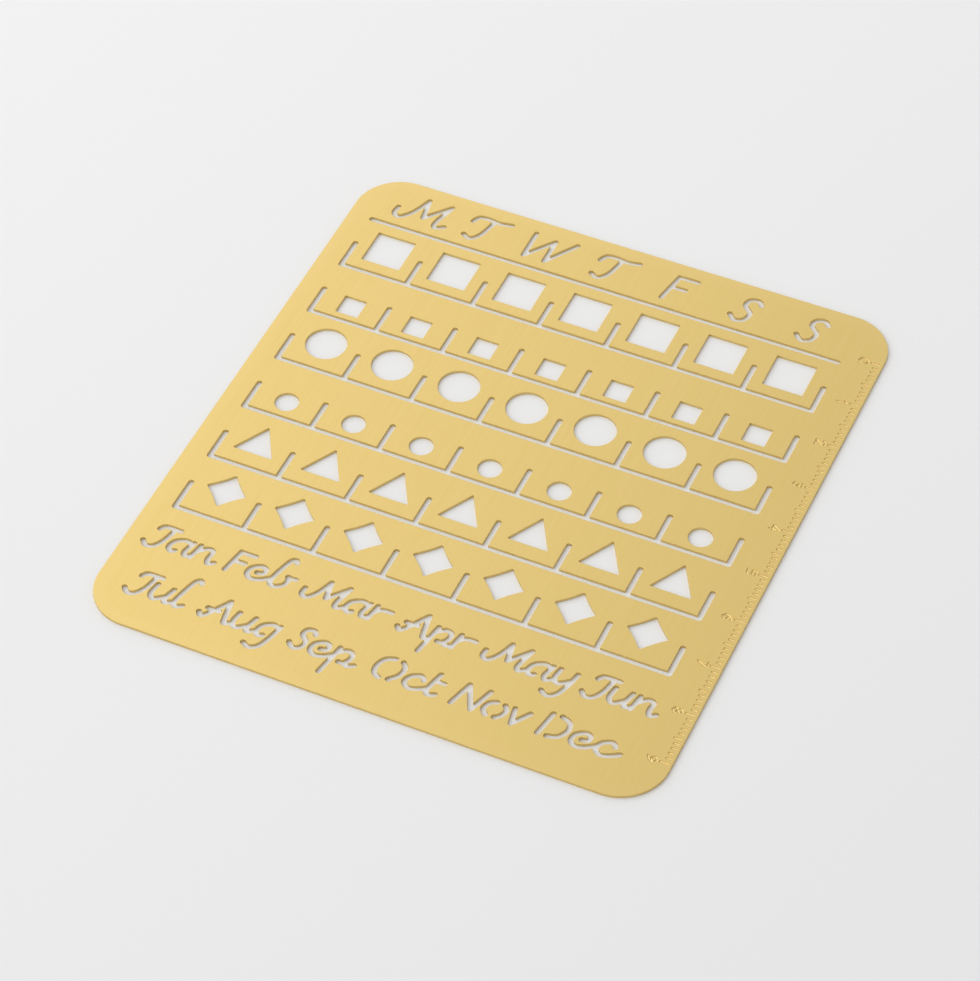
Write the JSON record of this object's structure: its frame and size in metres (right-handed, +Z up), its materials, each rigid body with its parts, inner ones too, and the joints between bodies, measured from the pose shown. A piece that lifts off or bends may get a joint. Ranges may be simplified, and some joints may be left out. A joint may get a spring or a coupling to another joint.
{
  "type": "planner stencil",
  "caption": "Thin flat brass drawing stencil with rounded corners: week grid slots, marker shapes and calendar lettering cut through, and a millimetre scale etched along one edge.",
  "frame": {"origin": "middle of the sheet's outline, on its underside", "axes": "+X towards the edge with the scale, +Y towards the edge with the weekday initials, +Z up out of the etched face"},
  "size_m": [0.097, 0.108, 0.0005],
  "materials": {
    "satin_brass": "satin"
  },
  "bodies": {
    "root": {"stencil_sheet": "satin_brass"}
  },
  "joints": []
}
